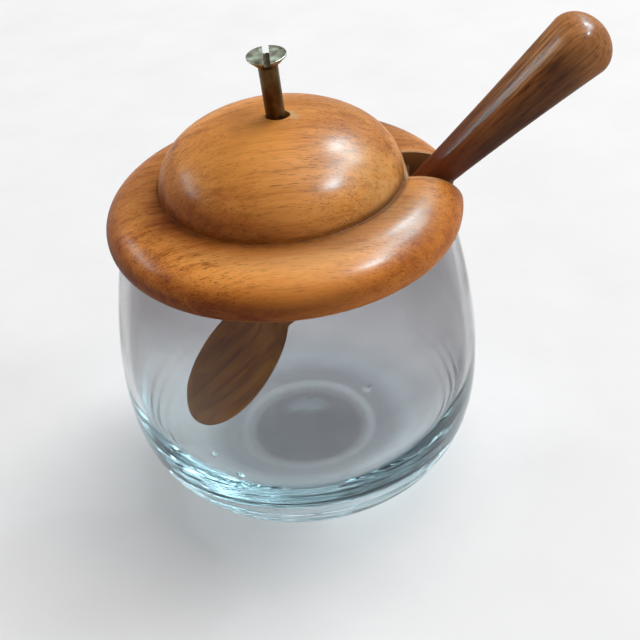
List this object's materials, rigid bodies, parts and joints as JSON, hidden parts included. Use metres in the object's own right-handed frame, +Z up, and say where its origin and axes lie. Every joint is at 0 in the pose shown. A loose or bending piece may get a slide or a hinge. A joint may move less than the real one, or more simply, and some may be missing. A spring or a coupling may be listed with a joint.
{
  "type": "honey pot",
  "caption": "Round-bellied glass honey pot with a turned domed wooden lid, a wooden spoon leaning out through a notch in its brim, and a brass screw standing in the lid.",
  "frame": {"origin": "middle of the jar's flat underside", "axes": "+Z up along the jar's axis, +X towards the notch in the lid and the spoon's handle"},
  "size_m": [0.1338, 0.1012, 0.1279],
  "materials": {
    "clear_glass": "clear pressed glass, faintly aqua in its thick edges",
    "lid_wood": "oiled orange-brown hardwood, satin",
    "spoon_wood": "oiled dark red-brown hardwood, satin",
    "screw_brass": "tarnished brass"
  },
  "bodies": {
    "jar": {"glass_jar": "clear_glass"},
    "lid": {"lid": "lid_wood"},
    "spoon": {"spoon": "spoon_wood"},
    "screw": {"lid_screw": "screw_brass"}
  },
  "joints": [
    {"name": "lid_lift", "type": "slide", "parent": "jar", "child": "lid", "axis": [0, 0, 1], "range_m": [0, 0.06]},
    {"name": "spoon_draw", "type": "slide", "parent": "jar", "child": "spoon", "axis": [0.719, -0.0591, 0.6925], "range_m": [0, 0.03]},
    {"name": "screw_turn", "type": "hinge", "parent": "lid", "child": "screw", "pos_m": [0.0003, 0, 0.1078], "axis": [-0.0412, -0.0474, 0.998], "continuous": true}
  ]
}
